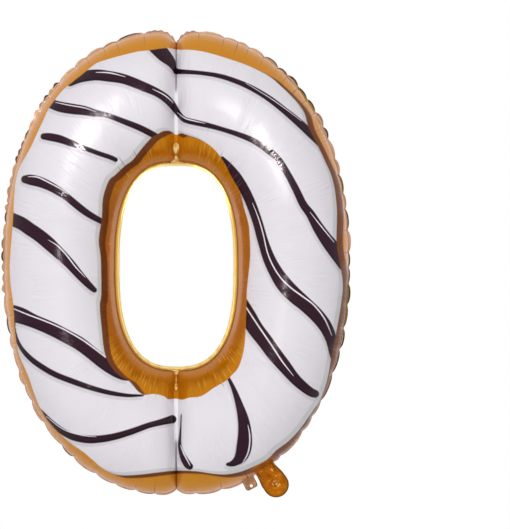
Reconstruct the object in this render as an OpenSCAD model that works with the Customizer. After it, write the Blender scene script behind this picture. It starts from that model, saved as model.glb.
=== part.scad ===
// Inflated foil balloon in the shape of a ring-like digit nought.
// Two films are welded to each other round the outside and round the hole, and
// blown out into a tube. A flat tail with a self-sealing valve leaves the outer
// weld at the lower right, and a small tab with an eyelet sits beside it.
// X is the width, Y the depth with the printed front at -Y, Z the height.
// The origin is the middle of the ring, in the plane of the welds.

/* [Overall] */
// Width over the outer weld
overall_w = 660; // [560:5:760]
// Height of the outer weld's outline, before the folds dip it
overall_h = 886; // [786:5:986]
// Depth from the crown of the front film to the crown of the back film
overall_d = 190; // [130:5:220]
// Squareness of the outer outline, where 2 is an ellipse
outline_power = 2.2; // [2:0.1:3]

/* [Hole] */
// Clear width of the hole
hole_w = 216; // [150:2:260]
// Clear height of the hole
hole_h = 380; // [300:2:440]
// How far the hole sits below the middle of the outline
hole_drop = 6; // [0:1:15]
// Squareness of the hole, where 2 is an ellipse
hole_power = 2.6; // [2.2:0.1:3.4]

/* [Film] */
// Wall of the front and back films
film_t = 0.4; // [0.3:0.05:0.8]

/* [Creases] */
// How far the crown sinks at the fold across the top and the bottom
crease_d = 40; // [10:1:60]
// Distance from the fold over which the crown recovers
crease_w = 16; // [10:1:40]
// How far the outline dips at the top fold
notch_top = 24; // [5:1:35]
// How far the outline dips at the bottom fold
notch_bottom = 12; // [5:1:35]
// Distance from the fold over which the outline recovers
notch_w = 14; // [8:1:30]

/* [Seams] */
// Width of the weld round the outside
outer_seam_w = 6; // [5:0.5:12]
// Width of the weld round the hole
inner_seam_w = 5; // [3:0.5:10]
// Number of scallops along the outer weld
scallops = 120; // [80:4:160]
// Height of a scallop
scallop_h = 2.4; // [0.5:0.1:3]

/* [Tail] */
// Direction in which the tail points, in degrees from +X
tail_angle = -55; // [-60:1:-40]
// Width of the tail's neck
tail_neck_w = 40; // [36:1:42]
// Diameter of the tail's round end
tail_end_d = 47; // [42:1:52]
// Length of the tail from the edge of the outer weld
tail_len = 56; // [52:1:70]
// Width of the weld along the tail's edge
tail_weld_w = 5; // [3:0.5:5]
// Diameter of the inlet that takes the straw
inlet_d = 8; // [5:0.5:12]

/* [Valve] */
// Width of the valve sleeve
valve_w = 26; // [20:1:28]
// Wall of each valve film
valve_film_t = 0.2; // [0.1:0.05:0.4]
// Thickness of the release coat between the valve films
coat_t = 0.1; // [0.1:0.05:0.2]
// Width of each side weld of the valve
valve_weld_w = 4; // [2:0.5:6]
// Length of the valve sleeve inside the balloon, past the outer weld
valve_inner_len = 75; // [50:1:120]
// Distance between the valve's outer end and the inlet
valve_to_inlet = 3; // [2:0.5:6]

/* [Tether tab] */
// Direction in which the tab points, in degrees from +X
tab_angle = -63; // [-72:1:-62]
// Width of the tab
tab_w = 24; // [18:1:26]
// Length of the tab from the edge of the outer weld
tab_len = 15; // [13:0.5:22]
// Radius of the tab's corners
tab_corner_r = 5; // [3:0.5:6]
// Diameter of the eyelet
eyelet_d = 6; // [4:0.5:7]
// Distance from the middle of the eyelet to the end of the tab
eyelet_edge = 6; // [5:0.5:8]

/* [Fits] */
// Length of the straight stub of weld that carries the tail or the tab
stub_len = 3; // [2:0.5:6]
// Clearance between a fold line and the stub
fold_gap = 0.3; // [0.2:0.05:0.5]

/* [Hidden] */

// Stations round the ring, gathered towards the folds at the top and the bottom
stations = 96;
station_gather = 16;
// Steps across a film, from the outer weld to the inner one
steps = 10;
// Points on each scallop of the outer weld
scallop_points = 4;
// Roundness of true circles
round_fn = 64;
// Length past a face that a cut runs, so that it leaves no skin
cut_past = 1;
// Depth to which a stub is rooted in the weld, past the bottoms of the scallops
stub_root = outer_seam_w - film_t;

// The weld is as thick as the stack of films that passes through it at the tail
valve_half_t = coat_t / 2 + valve_film_t;
weld_half_t = valve_half_t + film_t;

// Edges of the films, just inside the two welds
film_a = overall_w / 2 - outer_seam_w;
film_b = overall_h / 2 - outer_seam_w;
hole_a = hole_w / 2 + inner_seam_w;
hole_b = hole_h / 2 + inner_seam_w;

// Fold lines of the tail and the tab, measured from the edge of the outer weld
tail_fold = stub_len + fold_gap + weld_half_t;
tab_half_t = film_t;
tab_fold = stub_len + fold_gap + tab_half_t;
tail_end_u = tail_len - tail_end_d / 2;
valve_end_u = tail_end_u - inlet_d / 2 - valve_to_inlet;

function signed_power(v, p) = sign(v) * pow(abs(v), p);

// A point on a squared ellipse of half sizes a and b
function oval(a, b, power, angle) =
    [a * signed_power(cos(angle), 2 / power), b * signed_power(sin(angle), 2 / power)];

function station_angle(i, count) =
    let (even = 360 * i / count)
    even + station_gather * sin(2 * even);

// The outline dips where the ring folds, at the top and the bottom
function notched(p) =
    let (dip = p[1] > 0 ? notch_top : notch_bottom)
    [p[0], p[1] - sign(p[1]) * dip * exp(-abs(p[0]) / notch_w)];

function film_outer(angle) = notched(oval(film_a, film_b, outline_power, angle));
function film_inner(angle) = oval(hole_a, hole_b, hole_power, angle) - [0, hole_drop];

// Unit direction across the ring at a station, from the hole outwards
function across(angle) =
    let (d = film_outer(angle) - film_inner(angle))
    d / norm(d);

// A point on a film: inset is the depth below its outer skin, turn runs from the
// outer weld at 0 to the inner one at 180, and side is -1 for the front
function film_point(angle, turn, inset, side) =
    let (
        p = film_outer(angle) - inset * across(angle),
        q = film_inner(angle) + inset * across(angle),
        m = (p + q) / 2 + (p - q) / 2 * cos(turn),
        rise = overall_d / 2 - weld_half_t - inset,
        sink = crease_d * exp(-abs(m[0]) / crease_w)
    )
    [m[0], side * (weld_half_t + (rise - sink) * sin(turn)), m[1]];

// Outline angle at which a squared ellipse of the overall size faces a direction
function facing(direction) =
    -atan(pow(tan(-direction) * overall_h / overall_w, outline_power / (2 * (outline_power - 1))));

// Point on the edge of the outer weld that faces a direction
function weld_edge(direction) = oval(overall_w / 2, overall_h / 2, outline_power, facing(direction));

// Outer edge of the outer weld, with its scallops
function scalloped(i, count) =
    let (
        angle = station_angle(i, count),
        p = notched(oval(overall_w / 2, overall_h / 2, outline_power, angle)),
        lobe = abs(sin(180 * i / scallop_points)) - 1
    )
    p + scallop_h * lobe * across(angle);

// A film as one closed skin of triangles: an outer and an inner sheet joined along both rims
module film(side) {
    row = steps + 1;
    sheet = stations * row;
    points = [
        for (inset = [0, film_t], i = [0:stations - 1], j = [0:steps])
            film_point(station_angle(i, stations), 180 * j / steps, inset, side)
    ];
    function at(s, i, j) = s * sheet + (i % stations) * row + j;
    outer = [
        for (i = [0:stations - 1], j = [0:steps - 1], k = [0, 1])
            k == 0 ? [at(0, i, j), at(0, i + 1, j), at(0, i + 1, j + 1)]
                   : [at(0, i, j), at(0, i + 1, j + 1), at(0, i, j + 1)]
    ];
    inner = [
        for (i = [0:stations - 1], j = [0:steps - 1], k = [0, 1])
            k == 0 ? [at(1, i, j), at(1, i + 1, j + 1), at(1, i + 1, j)]
                   : [at(1, i, j), at(1, i, j + 1), at(1, i + 1, j + 1)]
    ];
    rims = [
        for (i = [0:stations - 1], j = [0, steps], k = [0, 1])
            let (
                near = at(0, i, j),
                near_next = at(0, i + 1, j),
                deep = at(1, i, j),
                deep_next = at(1, i + 1, j),
                face = k == 0 ? [near, deep, deep_next] : [near, deep_next, near_next]
            )
            j == 0 ? face : [face[0], face[2], face[1]]
    ];
    faces = concat(outer, inner, rims);
    polyhedron(points, side < 0 ? [for (f = faces) [f[0], f[2], f[1]]] : faces);
}

// Stands a flat drawing up in the plane of the welds, between two depths
module upright(from_y, to_y) {
    translate([0, to_y, 0]) rotate([90, 0, 0]) linear_extrude(to_y - from_y) children();
}

// Moves to the edge of the outer weld where it faces a direction: x then runs outwards
module on_weld(direction) {
    p = weld_edge(direction);
    translate([p[0], 0, p[1]]) rotate([0, -direction, 0]) children();
}

// Flat strip of the valve's plan, between two positions across the sleeve
module valve_strip(from_v, to_v) {
    start = -outer_seam_w - valve_inner_len;
    translate([start, from_v]) square([valve_end_u - start, to_v - from_v]);
}

// Plan of the tail past its fold, drawn in by an inset
module tail_plan(from_u, inset) {
    neck = tail_neck_w / 2 - inset;
    translate([from_u, -neck]) square([tail_end_u - from_u, 2 * neck]);
    translate([tail_end_u, 0]) circle(d = tail_end_d - 2 * inset, $fn = round_fn);
}

module front_film() {
    color("whitesmoke") film(-1);
}

module back_film() {
    color("goldenrod") film(1);
}

module outer_seam() {
    count = scallops * scallop_points;
    color("peru") difference() {
        union() {
            upright(-weld_half_t, weld_half_t) difference() {
                polygon([for (i = [0:count - 1]) scalloped(i, count)]);
                polygon([
                    for (i = [0:stations - 1])
                        let (angle = station_angle(i, stations))
                        film_outer(angle) - film_t * across(angle)
                ]);
            }
            on_weld(tail_angle) upright(-weld_half_t, weld_half_t)
                translate([-stub_root, -tail_neck_w / 2])
                square([stub_root + stub_len, tail_neck_w]);
            on_weld(tab_angle) upright(-weld_half_t, weld_half_t)
                translate([-stub_root, -tab_w / 2])
                square([stub_root + stub_len, tab_w]);
        }
        on_weld(tail_angle) upright(-valve_half_t, valve_half_t)
            translate([-2 * outer_seam_w, -valve_w / 2])
            square([2 * outer_seam_w + stub_len + cut_past, valve_w]);
    }
}

module inner_seam() {
    color("gold") upright(-weld_half_t, weld_half_t) difference() {
        polygon([
            for (i = [0:stations - 1])
                let (angle = station_angle(i, stations))
                film_inner(angle) + film_t * across(angle)
        ]);
        polygon([
            for (i = [0:stations - 1])
                oval(hole_w / 2, hole_h / 2, hole_power, station_angle(i, stations)) - [0, hole_drop]
        ]);
    }
}

module tail_front_film() {
    color("darkgoldenrod") on_weld(tail_angle) upright(-weld_half_t, -valve_half_t) difference() {
        tail_plan(tail_fold + weld_half_t, 0);
        translate([tail_end_u, 0]) circle(d = inlet_d, $fn = round_fn);
    }
}

module tail_back_film() {
    color("darkgoldenrod") on_weld(tail_angle) upright(valve_half_t, weld_half_t)
        tail_plan(tail_fold + weld_half_t, 0);
}

// The weld follows the tail's edge and rolls into a short bead at each side of the fold
module tail_edge_weld() {
    bead_len = (tail_neck_w - valve_w) / 2 - fold_gap;
    color("goldenrod") on_weld(tail_angle) {
        upright(-valve_half_t, valve_half_t) difference() {
            tail_plan(tail_fold, 0);
            tail_plan(tail_fold - cut_past, tail_weld_w);
        }
        for (low = [-tail_neck_w / 2, tail_neck_w / 2 - bead_len])
            translate([tail_fold, 0, low])
            cylinder(r = weld_half_t, h = bead_len, $fn = round_fn);
    }
}

module valve_front_film() {
    color("silver") on_weld(tail_angle) upright(-valve_half_t, -coat_t / 2)
        valve_strip(-valve_w / 2, valve_w / 2);
}

module valve_back_film() {
    color("silver") on_weld(tail_angle) upright(coat_t / 2, valve_half_t)
        valve_strip(-valve_w / 2, valve_w / 2);
}

module valve_side_welds() {
    color("gray") on_weld(tail_angle) upright(-coat_t / 2, coat_t / 2) {
        valve_strip(-valve_w / 2, valve_weld_w - valve_w / 2);
        valve_strip(valve_w / 2 - valve_weld_w, valve_w / 2);
    }
}

module valve_release_coat() {
    color("slateblue") on_weld(tail_angle) upright(-coat_t / 2, coat_t / 2)
        valve_strip(valve_weld_w - valve_w / 2, valve_w / 2 - valve_weld_w);
}

// A flat tab of fused film whose root is rolled round its fold line
module tether_tab() {
    far = tab_len - tab_corner_r;
    side = tab_w / 2 - tab_corner_r;
    color("peru") on_weld(tab_angle) {
        upright(-tab_half_t, tab_half_t) difference() {
            union() {
                translate([tab_fold, -tab_w / 2]) square([far - tab_fold, tab_w]);
                translate([tab_fold, -side]) square([tab_len - tab_fold, 2 * side]);
                for (v = [-side, side])
                    translate([far, v]) circle(r = tab_corner_r, $fn = round_fn);
            }
            translate([tab_len - eyelet_edge, 0]) circle(d = eyelet_d, $fn = round_fn);
        }
        translate([tab_fold, 0, -tab_w / 2]) cylinder(r = tab_half_t, h = tab_w, $fn = round_fn);
    }
}

front_film();
back_film();
outer_seam();
inner_seam();
tail_front_film();
tail_back_film();
tail_edge_weld();
valve_front_film();
valve_back_film();
valve_side_welds();
valve_release_coat();
tether_tab();
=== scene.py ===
# %% [markdown]
# # A foil number balloon, one ring-shaped digit
#
# The object is two thin metallised films, cut as a ring, welded along both rims and blown tight.
# The front is printed like an iced and drizzled dough ring, the back is plain gold, and a flat
# inflation tail with a film valve leaves the outer weld at the lower right.
# The packed CAD model is loaded first. It fixes the place and the size of everything below.

# %% Start from the packed model
import math

import bpy
import numpy as np
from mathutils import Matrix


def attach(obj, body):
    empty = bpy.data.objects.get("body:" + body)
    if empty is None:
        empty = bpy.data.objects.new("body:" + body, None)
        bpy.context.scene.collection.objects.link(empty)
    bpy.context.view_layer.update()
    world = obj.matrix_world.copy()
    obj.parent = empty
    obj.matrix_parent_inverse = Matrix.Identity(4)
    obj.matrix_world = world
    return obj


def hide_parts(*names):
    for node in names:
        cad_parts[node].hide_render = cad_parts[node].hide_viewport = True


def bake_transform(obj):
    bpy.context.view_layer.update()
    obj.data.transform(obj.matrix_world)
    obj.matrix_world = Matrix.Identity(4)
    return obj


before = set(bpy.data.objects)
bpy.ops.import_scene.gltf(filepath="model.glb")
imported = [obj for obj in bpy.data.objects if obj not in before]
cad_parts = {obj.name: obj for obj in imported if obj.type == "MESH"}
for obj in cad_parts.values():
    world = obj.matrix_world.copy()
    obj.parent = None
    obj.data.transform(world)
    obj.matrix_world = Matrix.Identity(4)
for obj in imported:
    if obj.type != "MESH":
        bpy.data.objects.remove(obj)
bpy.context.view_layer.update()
scene = bpy.context.scene
scene.view_settings.view_transform = "Standard"

# %% [markdown]
# ## Camera
#
# The picture was taken from straight ahead with a long lens, so the ring shows almost no perspective.
# A lens that sees the picture's width at the plane of the welds gives every piece its size in the
# picture. The ring stands left of the middle of the frame, so the camera stands to its right.

# %% Camera
PICTURE_W, PIXEL = 510, 0.001888
SENSOR_W = 36
VIEW_DISTANCE = 9.0
VIEW_X, VIEW_Z = 0.1482, -0.0028

camera_data = bpy.data.cameras.new("camera")
camera_data.sensor_fit = "HORIZONTAL"
camera_data.sensor_width = SENSOR_W
camera_data.lens = SENSOR_W * VIEW_DISTANCE / (PICTURE_W * PIXEL)
camera_data.clip_end = 60
camera = bpy.data.objects.new("camera", camera_data)
camera.location = (VIEW_X, -VIEW_DISTANCE, VIEW_Z)
camera.rotation_euler = (math.pi / 2, 0, 0)
scene.collection.objects.link(camera)
scene.camera = camera
print("lens", round(camera_data.lens, 1), "mm")

# %% [markdown]
# ## Lamps
#
# The studio is plain, with soft lamps high in front and behind. Film this glossy also needs something
# to reflect: two rows of narrow spots beside the camera, two faint ones for each side and two behind
# show only in reflections, each on a small part of the ring. They lay the soft white streak on the
# crown of each shoulder without making the colours any lighter.

# %% Lamps
SPOT_FADE, SPOT_SIZE, SPOT_Y, SPOTS_IN_ROW = 0.7, 0.09, -6.0, 7
LEFT_SHOULDER, RIGHT_SHOULDER = (-0.168, 0, 0.232), (0.160, 0, 0.228)


def hang(name, lamp, place, aim, gloss):
    """Puts a lamp in its place. With gloss it shows only in reflections, and without it only lights."""
    made = bpy.data.objects.new(name, lamp)
    made.location = place
    x, y, z = np.array(place) - np.array(aim)
    made.rotation_euler = (math.atan2(math.hypot(x, y), z), 0, math.atan2(y, x) + math.pi / 2)
    made.visible_diffuse, made.visible_glossy = not gloss, gloss
    scene.collection.objects.link(made)


def softbox(name, place, width, height, watts):
    lamp = bpy.data.lights.new(name, "AREA")
    lamp.shape = "RECTANGLE"
    lamp.size, lamp.size_y, lamp.energy = width, height, watts
    hang(name, lamp, place, (0, 0, 0), gloss=False)


def spot(name, place, aim, degrees, watts):
    lamp = bpy.data.lights.new(name, "SPOT")
    lamp.spot_size, lamp.spot_blend = math.radians(degrees), SPOT_FADE
    lamp.shadow_soft_size, lamp.energy = SPOT_SIZE, watts
    hang(name, lamp, place, aim, gloss=True)


softbox("left lamp", (-2.8, -4.2, 2.2), 1.2, 2.2, 113)
softbox("right lamp", (2.6, -4.6, 1.6), 0.9, 2.0, 68)
softbox("back lamp", (0.8, 4.5, 2.2), 2.0, 2.0, 110)
for t in np.linspace(0, 1, SPOTS_IN_ROW):
    left_place = (-0.62 - 0.50 * t, SPOT_Y, 0.52 + 1.15 * t)
    right_place = (0.17 + 0.20 * t, SPOT_Y, 0.29 + 0.36 * t)
    spot(f"left spot {t:.2f}", left_place, LEFT_SHOULDER, 1.6, 950 + 850 * t)
    spot(f"right spot {t:.2f}", right_place, RIGHT_SHOULDER, 1.4, 950)
spot("left side spot", (-0.35, SPOT_Y, 0.0), (-0.245, 0, 0.010), 1.6, 330)
spot("right side spot", (-1.20, SPOT_Y, 0.0), (0.235, 0, -0.010), 1.6, 330)
spot("left low spot", (-0.35, SPOT_Y, -0.24), (-0.22, 0, -0.145), 1.5, 420)
spot("right low spot", (-1.20, SPOT_Y, -0.22), (0.215, 0, -0.145), 1.7, 520)
for side in (-1, 1):
    spot(f"back spot {side}", (0.66 * side, -SPOT_Y, 0.58), (0.182 * side, 0, 0.210), 3.4, 2600)
print(len(bpy.data.lights), "lamps")

# %% [markdown]
# ## Short words for nodes
#
# The background, the finishes and the welds are all node trees. A small class gives the nodes that
# are used most a short name, so that a finish below reads like a recipe, and n is always the tree in
# hand. Colours are written as a screen shows them, from 0 to 255, and are changed to the renderer's
# values on the way in.

# %% Short words for nodes
def ink(colour):
    """A colour as seen on a screen, as the renderer wants it. A node's output stays as it is."""
    if not isinstance(colour, tuple):
        return colour
    return tuple(((c / 255 + 0.055) / 1.055) ** 2.4 if c > 10 else c / 3294.6 for c in colour) + (1.0,)


class Nodes:
    """A node tree, with short words for the nodes that are used most."""

    def __init__(self, tree):
        self.tree = tree

    def feed(self, node, **sockets):
        """Sets sockets, by name or, as _0, by number, to a value or another node's output."""
        for key, value in sockets.items():
            socket = node.inputs[int(key[1:]) if key[0] == "_" else key.replace("_", " ")]
            if isinstance(value, bpy.types.NodeSocket):
                self.tree.links.new(value, socket)
            else:
                socket.default_value = value
        return node

    def put(self, kind, settings=None, **sockets):
        made = self.tree.nodes.new(kind)
        for key, value in (settings or {}).items():
            setattr(made, key, value)
        return self.feed(made, **sockets)

    def calc(self, way, a, b=0.0, clamp=False):
        return self.put("ShaderNodeMath", {"operation": way, "use_clamp": clamp}, _0=a, _1=b).outputs[0]

    def plus(self, a, b):
        return self.calc("ADD", a, b)

    def times(self, first, *others):
        for other in others:
            first = self.calc("MULTIPLY", first, other)
        return first

    def rest(self, share):
        return self.calc("SUBTRACT", 1.0, share)

    def remap(self, value, from_low=0.0, from_high=1.0, low=0.0, high=1.0):
        """Stretches a range of values over another one and stops at its ends."""
        return self.put("ShaderNodeMapRange", Value=value, From_Min=from_low, From_Max=from_high,
                        To_Min=low, To_Max=high).outputs[0]

    def here(self):
        return self.put("ShaderNodeTexCoord").outputs["Object"]

    def stored(self, name):
        return self.put("ShaderNodeAttribute", {"attribute_name": name}).outputs["Fac"]

    def group(self, which, **values):
        return self.put("ShaderNodeGroup", {"node_tree": which}, **values).outputs

    def blend(self, amount, below, above, way="MIX"):
        return self.put("ShaderNodeMix", {"data_type": "RGBA", "blend_type": way},
                        _0=amount, _6=ink(below), _7=ink(above)).outputs[2]

    def ramp(self, value, stops):
        """A colour for each value; stops are (place, colour)."""
        made = self.put("ShaderNodeValToRGB", Fac=value)
        bar = made.color_ramp.elements
        while len(bar) < len(stops):
            bar.new(0.5)
        for element, (at, colour) in zip(bar, stops):
            element.position, element.color = at, ink(colour)
        return made.outputs[0]

    def bump(self, height, strength, distance, **below):
        return self.put("ShaderNodeBump", Height=height, Strength=strength, Distance=distance,
                        **below).outputs[0]


print("words for nodes:", [word for word in vars(Nodes) if word[0] != "_"])

# %% [markdown]
# ## Background and floor
#
# The world is white only to what the camera, a reflection or a see-through surface looks at. To
# everything else it is a dimmer fill, so that the folds keep their shade. A pale floor lies well below
# the ring and takes no part in the picture from the front.

# %% Background and floor
FILL = 0.435
FLOOR_Z, FLOOR_R, FLOOR_CORNERS = -0.90, 5.0, 96

world = bpy.data.worlds.new("white studio")
scene.world = world
world.use_nodes = True
world.node_tree.nodes.clear()
n = Nodes(world.node_tree)
path = n.put("ShaderNodeLightPath").outputs
seen = n.calc("MAXIMUM", path["Is Glossy Ray"], path["Is Transmission Ray"])
seen = n.calc("MAXIMUM", path["Is Camera Ray"], seen)
sky = n.put("ShaderNodeBackground", Color=(1, 1, 1, 1), Strength=n.plus(n.times(seen, 1.0 - FILL), FILL))
n.put("ShaderNodeOutputWorld", Surface=sky.outputs[0])


def start_material(name):
    """A new material, its nodes and its shader."""
    made = bpy.data.materials.new(name)
    made.use_nodes = True
    return made, Nodes(made.node_tree), made.node_tree.nodes["Principled BSDF"]


def new_piece(name, points, edges=(), faces=()):
    mesh = bpy.data.meshes.new(name)
    mesh.from_pydata(points, list(edges), list(faces))
    made = bpy.data.objects.new(name, mesh)
    scene.collection.objects.link(made)
    return made


def all_round(count):
    return np.linspace(0, 2 * math.pi, count, False)


floor_rim = [(FLOOR_R * math.cos(a), FLOOR_R * math.sin(a), FLOOR_Z) for a in all_round(FLOOR_CORNERS)]
floor = new_piece("floor", floor_rim, faces=[list(range(FLOOR_CORNERS))])
floor_paint, n, skin = start_material("pale floor")
speckle = n.put("ShaderNodeTexNoise", Scale=3.0, Vector=n.here()).outputs["Fac"]
n.feed(skin, Base_Color=n.remap(speckle, low=0.84, high=0.88), Roughness=0.8)
floor.data.materials.append(floor_paint)
print("floor at", FLOOR_Z, "m")

# %% [markdown]
# ## The ring's two weld lines
#
# The film's cut shape is two lines: the outer weld and the weld round the hole. Both are squared
# ellipses. At the top and at the bottom the tube has to fold, because a flat film can't go round so
# tight a bend, and the outer line dips there. Stations are spread along both lines, closer together
# towards the folds, in two halves that meet exactly in the two folds.

# %% Weld lines
OUTER_A, OUTER_B, OUTER_POWER = 0.324, 0.437, 2.2
HOLE_A, HOLE_B, HOLE_POWER, HOLE_DROP = 0.113, 0.195, 2.6, 0.006
NOTCH_TOP, NOTCH_BOTTOM, NOTCH_W = 0.024, 0.012, 0.014
CROWD, CROWD_W, FINE_STEPS = 3, 0.025, 40001


def oval(a, b, power, angle):
    sides = ((a, np.cos(angle)), (b, np.sin(angle)))
    return np.stack([size * np.sign(v) * np.abs(v) ** (2 / power) for size, v in sides], -1)


def outer_line(angle):
    p = oval(OUTER_A, OUTER_B, OUTER_POWER, angle)
    dip = np.where(p[..., 1] > 0, NOTCH_TOP, NOTCH_BOTTOM)
    p[..., 1] -= np.sign(p[..., 1]) * dip * np.exp(-np.abs(p[..., 0]) / NOTCH_W)
    return p


def hole_line(angle):
    return oval(HOLE_A, HOLE_B, HOLE_POWER, angle) - np.array([0, HOLE_DROP])


def steps_of(line):
    return np.linalg.norm(np.diff(line, axis=0), axis=1)


def running(steps):
    return np.concatenate([[0], np.cumsum(steps)])


def half_stations(start, count):
    """Angles over half the ring, and their distance along the outer line from its start."""
    share = np.linspace(0, 1, FINE_STEPS)
    fine = start + math.pi * (share - np.sin(2 * math.pi * share) / (2 * math.pi))
    outer, hole = outer_line(fine), hole_line(fine)
    crowd = 1 + CROWD * np.exp(-np.abs(outer[1:, 0]) / CROWD_W)
    measure = running((steps_of(outer) + steps_of(hole)) * crowd)
    along = running(steps_of(outer))
    even = np.linspace(0, measure[-1], count // 2 + 1)[:-1]
    return np.interp(even, measure, fine), np.interp(even, measure, along), along[-1]


def stations(count):
    """Angles round the ring from the bottom fold, up the right side and down the left one."""
    right, s_right, half = half_stations(-math.pi / 2, count)
    left, s_left, _ = half_stations(math.pi / 2, count)
    return np.concatenate([right, left]), np.concatenate([s_right, s_left + half]), 2 * half


_, _, ROUND = stations(200)
print("the outer weld is", round(ROUND, 3), "m round")

# %% [markdown]
# ## Puckers along the outer weld
#
# Blown up, the outer rim is too long for its place and gathers: it pinches in every few centimetres
# and stands out in a rounded lobe between two pinches. The pinches are close together on the upper
# shoulders and further apart at the bottom. Each gets a place, a depth and a length of its own from
# a seeded generator, so that no two look alike and every run gives the same ones.

# %% Pinches
chance = np.random.default_rng(11)
# Distance from the bottom fold, as a share of the whole round, and the pitch that starts there
PITCHES = [(0.0, 0.050), (0.10, 0.044), (0.20, 0.036), (0.28, 0.030), (0.38, 0.028), (0.455, 0.056),
           (0.545, 0.034), (0.60, 0.019), (0.72, 0.026), (0.77, 0.036), (0.84, 0.044), (0.92, 0.052)]
TOP_FOLD = ROUND / 2
pinch_at = []
reach = 0.0
while reach < ROUND - 0.012:
    pinch_at.append(reach)
    pitch = [p for share, p in PITCHES if share <= reach / ROUND][-1]
    reach += pitch * chance.uniform(0.7, 1.3)
    if pinch_at[-1] < TOP_FOLD - 1e-6 and reach > TOP_FOLD - 0.010:
        reach = TOP_FOLD
pinch_at = np.array(pinch_at + [ROUND])
PINCHES = len(pinch_at)
pinch_depth = chance.uniform(0.0016, 0.0036, PINCHES)
pinch_run = chance.uniform(0.018, 0.055, PINCHES)
pinch_side = np.where(np.arange(PINCHES) % 2, 1.0, -1.0) * chance.uniform(0.4, 1.0, PINCHES)
for values in (pinch_depth, pinch_run, pinch_side):
    values[-1] = values[0]
lobe_stand = chance.uniform(0.45, 1.35, PINCHES)
lobe_gilt = chance.uniform(0.0, 1.0, PINCHES)
lobe_dash = chance.uniform(0.0, 1.0, PINCHES)


def eased(share):
    return share * share * (3 - 2 * share)


def gather(s):
    """At a distance s along the weld: the lobe, 0 in a pinch and 1 between two, the near pinch's depth,
    run and sway, and a count of pinches that goes up evenly from one to the next, with their pitch."""
    i = np.clip(np.searchsorted(pinch_at, s, side="right") - 1, 0, PINCHES - 2)
    pitch = pinch_at[i + 1] - pinch_at[i]
    q = (s - pinch_at[i]) / pitch
    near = np.where(q < 0.5, i, i + 1)
    sway = pinch_side[i] * (1 - eased(q)) + pinch_side[i + 1] * eased(q)
    lobe = np.sqrt(np.clip(4 * q * (1 - q), 0, 1))
    return lobe, pinch_depth[near], pinch_run[near], sway, i + q, pitch


print(PINCHES - 1, "pinches")

# %% [markdown]
# ## The blown films
#
# Each film is half of the tube. Across the ring it runs from the outer weld, over the crown, to the
# weld at the hole, and it sinks into the two folds. A grid of points follows that rule, and then the
# film's own unevenness is laid on along its normals: the pinches, a slow swell, and the fine wrinkles
# that a tight film shows round the ends of the hole. A pressure simulation could find such a form
# too, but it was expected to blur the sharp pinches, so the rule is used directly.

# %% Unevenness of a film
swell = [(chance.integers(9, 40), chance.uniform(0, 6.28), chance.uniform(0.5, 2.5), chance.uniform(0, 6.28))
         for _ in range(9)]
wrinkle = [(chance.integers(120, 260), chance.uniform(0, 6.28)) for _ in range(6)]
LOBE_RISE, LOBE_RUN = 0.0011, 0.010
SWELL_RISE, WRINKLE_RISE = 0.00010, 0.00022


def unevenness(s, turn, from_outer, from_inner, ends):
    """How far a film stands off its smooth form: in at a pinch, out in a lobe, a swell and wrinkles."""
    lobe, depth, run, *_ = (v[:, None] for v in gather(s))
    lift = -depth * (1 - lobe) * np.exp(-from_outer / run)
    lift += LOBE_RISE * lobe * (from_outer / LOBE_RUN) * np.exp(1 - from_outer / LOBE_RUN)
    round_angle = s[:, None] / ROUND * 2 * math.pi
    for turns, phase, across, phase_2 in swell:
        wave = np.sin(turns * round_angle + phase) * np.cos(across * turn + phase_2)
        lift += SWELL_RISE * np.sin(turn) ** 2 * wave
    near_hole = np.exp(-from_inner / 0.024) * (1 - np.exp(-from_inner / 0.004))
    for turns, phase in wrinkle:
        lift += WRINKLE_RISE * ends * np.sin(turns * round_angle + phase) * near_hole
    return lift


print(len(swell), "swells and", len(wrinkle), "rows of wrinkles")

# %% [markdown]
# The grid also carries marks that the finish needs: each point's distance from both welds and from
# the folds, which pinch it is near, and where the gold pleat lies that stands up at each end of the
# hole. They are measured here, where the shape is made, and stored on the film's points.

# %% Film surface
CROWN, WELD_HALF = 0.095, 0.00065
CREASE_D, CREASE_W, CREASE_FLAT = 0.040, 0.016, 0.004
PLEAT_D, PLEAT_W = 0.0045, 0.0035
SWAY, SWAY_RUN = 0.0020, 0.018
MM = 1000
# Half width of the gold pleat at each end of the hole, by its distance from the hole
PIN_TOP = ([0, 0.0036, 0.0074, 0.013, 0.0187, 0.026, 0.0335, 0.037, 0.039],
           [0.015, 0.0083, 0.0043, 0.0029, 0.0045, 0.0060, 0.0057, 0.003, -0.006])
PIN_BOTTOM = ([0, 0.0015, 0.004, 0.010, 0.021, 0.029, 0.033, 0.038, 0.043],
              [0.020, 0.009, 0.0045, 0.0018, 0.0018, 0.0036, 0.0036, 0.0016, -0.006])
# How dark the painted shade of the pinch lines is, by degrees round the ring from its right side
PINCH_SHADE = ([-90, 0, 60, 110, 125, 230, 250, 270], [0.9, 0.8, 1.0, 0.9, 0.25, 0.25, 0.7, 0.9])


def between(value, low, high):
    """0 at the first value, 1 at the second, even in between and no further outside them."""
    return np.clip((value - low) / (high - low), 0, 1)


def unit(vectors):
    return vectors / np.linalg.norm(vectors, axis=-1, keepdims=True)


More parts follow.
